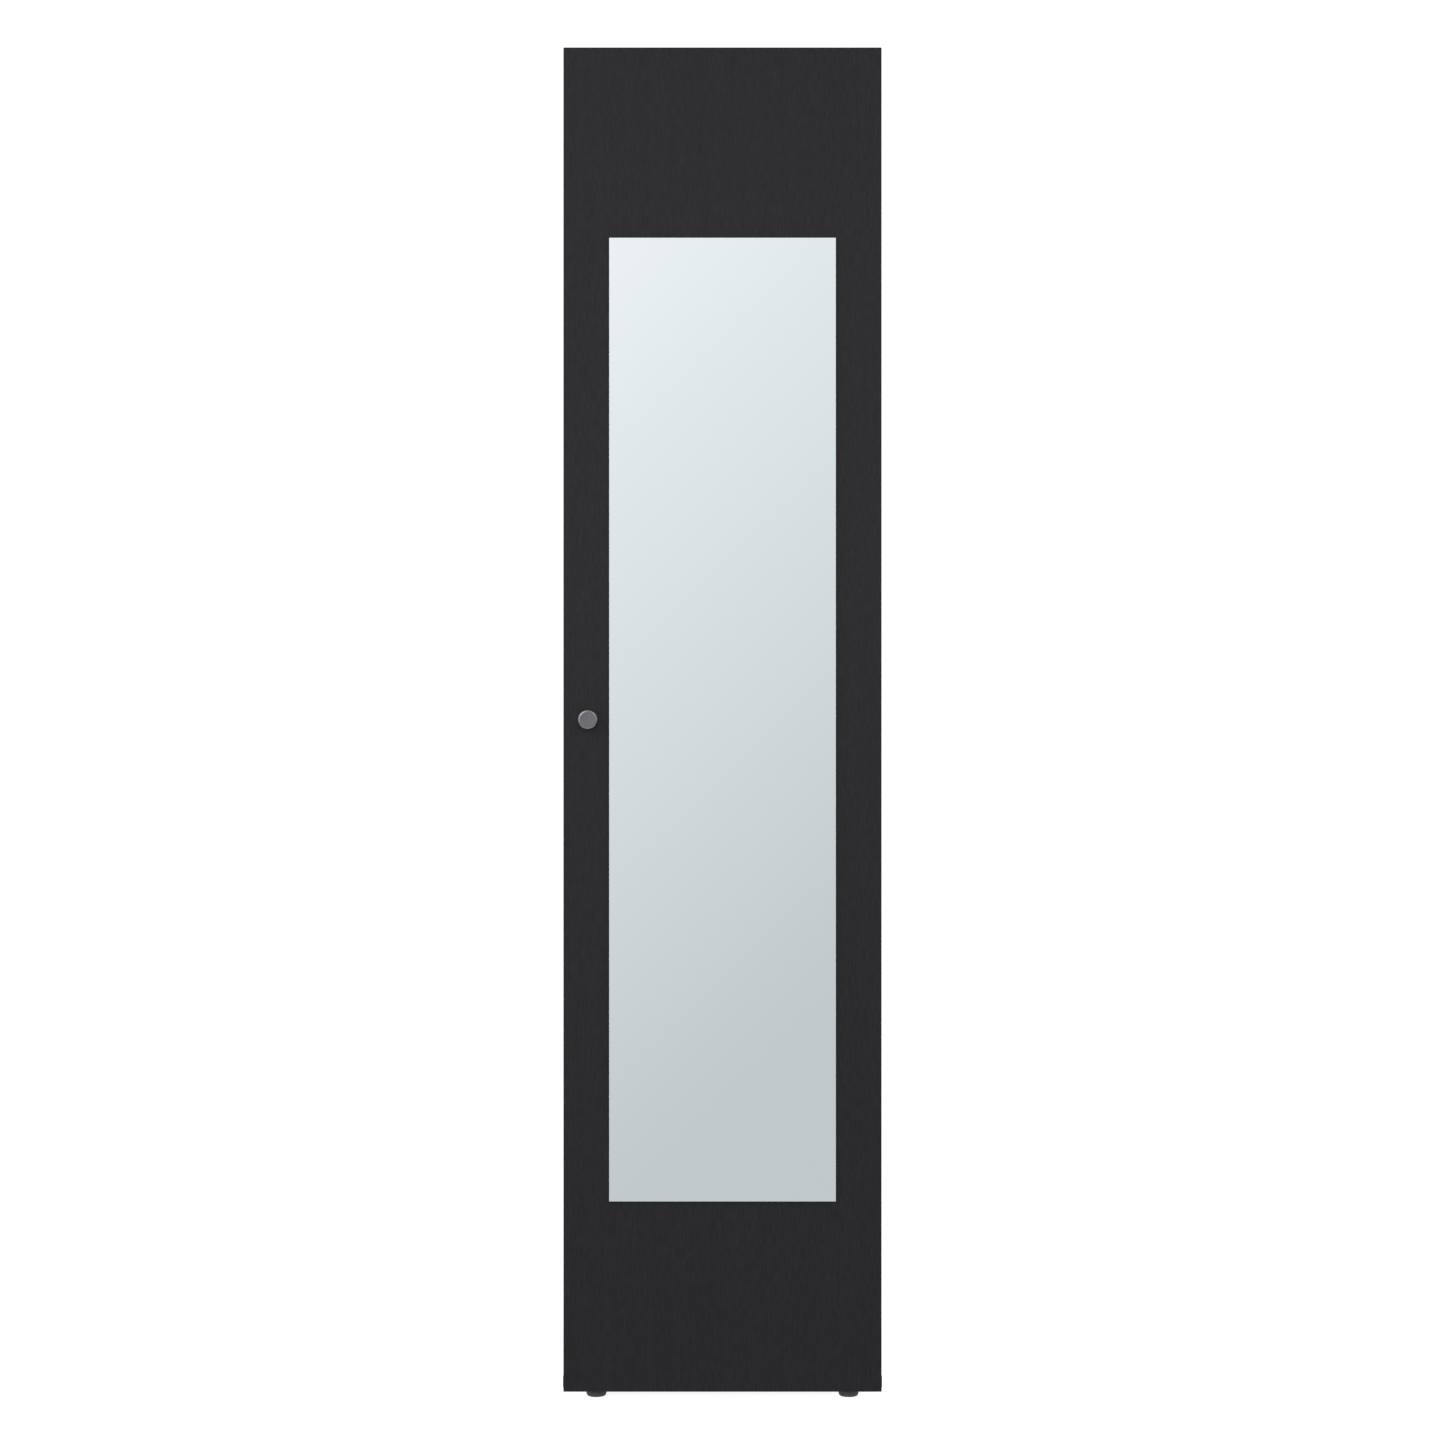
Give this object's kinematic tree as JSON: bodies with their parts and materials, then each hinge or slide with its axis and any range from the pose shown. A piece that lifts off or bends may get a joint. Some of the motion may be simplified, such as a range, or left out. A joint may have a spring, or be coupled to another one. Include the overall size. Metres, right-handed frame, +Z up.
{
  "type": "wardrobe",
  "caption": "Tall narrow wardrobe with a hinged, mirror-faced door, a round knob, levelling feet, a hat shelf, a clothes rail and a low adjustable shelf.",
  "frame": {"origin": "floor level, at the centre of the whole object's footprint, knob included", "axes": "+Z up, -Y out of the front of the door, +X to the right as seen from the front"},
  "size_m": [0.5, 0.605, 2.119],
  "materials": {
    "decor_foil": "near-black foil on chipboard, very fine grain, satin",
    "back_foil": "thin painted fibreboard, matt",
    "mirror": "silvered float glass with ground edges",
    "tape": "white closed-cell foam",
    "knob_metal": "dark satin nickel",
    "zinc": "bright zinc plate",
    "nickel": "nickel-plated steel",
    "rail_chrome": "chromed steel tube",
    "plastic_dark": "moulded dark grey plastic",
    "bumper": "soft translucent dots",
    "birch": "fluted birch"
  },
  "bodies": {
    "carcass": {"bottom_panel": "decor_foil", "top_panel": "decor_foil", "side_panel_left": "decor_foil", "side_panel_right": "decor_foil", "back_panel": "back_foil", "back_panel_nails": "zinc", "hat_shelf": "decor_foil", "lower_shelf": "decor_foil", "shelf_pins": "nickel", "clothes_rail": "rail_chrome", "rail_holder_left": "rail_chrome", "rail_holder_right": "rail_chrome", "rail_holder_screws": "zinc", "cam_housings": "zinc", "cam_bolts": "zinc", "wood_dowels": "birch", "base_screws": "zinc", "foot_inserts": "zinc", "foot_hole_caps": "plastic_dark", "hinge_plate_screws": "nickel", "hinge_arm_screws": "nickel", "door_bumpers": "bumper", "catch_housing": "plastic_dark", "catch_magnet": "zinc", "catch_screws": "zinc", "wall_bracket": "zinc", "wall_bracket_screws": "zinc", "hinge_plate_1": "nickel", "hinge_arm_1": "nickel", "hinge_plate_2": "nickel", "hinge_arm_2": "nickel", "hinge_plate_3": "nickel", "hinge_arm_3": "nickel", "hinge_plate_4": "nickel", "hinge_arm_4": "nickel"},
    "door": {"door_panel": "decor_foil", "mirror_glass": "mirror", "mirror_tape": "tape", "knob": "knob_metal", "knob_screw": "zinc", "hinge_cup_1": "nickel", "hinge_cup_2": "nickel", "hinge_cup_3": "nickel", "hinge_cup_4": "nickel", "hinge_pins": "nickel", "hinge_cup_screws": "nickel", "catch_plate": "nickel", "catch_plate_screw": "nickel"},
    "foot_front_left": {"foot_base_front_left": "plastic_dark", "foot_stud_front_left": "zinc"},
    "foot_front_right": {"foot_base_front_right": "plastic_dark", "foot_stud_front_right": "zinc"},
    "foot_back_left": {"foot_base_back_left": "plastic_dark", "foot_stud_back_left": "zinc"},
    "foot_back_right": {"foot_base_back_right": "plastic_dark", "foot_stud_back_right": "zinc"}
  },
  "joints": [
    {"name": "door_hinge", "type": "hinge", "parent": "carcass", "child": "door", "pos_m": [0.2405, -0.269, 1.0715], "axis": [0, 0, 1], "range_deg": [0, 95]},
    {"name": "foot_front_left_screw", "type": "slide", "parent": "carcass", "child": "foot_front_left", "axis": [0, 0, -1], "range_m": [-0.004, 0.008]},
    {"name": "foot_front_right_screw", "type": "slide", "parent": "carcass", "child": "foot_front_right", "axis": [0, 0, -1], "range_m": [-0.004, 0.008]},
    {"name": "foot_back_left_screw", "type": "slide", "parent": "carcass", "child": "foot_back_left", "axis": [0, 0, -1], "range_m": [-0.004, 0.008]},
    {"name": "foot_back_right_screw", "type": "slide", "parent": "carcass", "child": "foot_back_right", "axis": [0, 0, -1], "range_m": [-0.004, 0.008]}
  ]
}
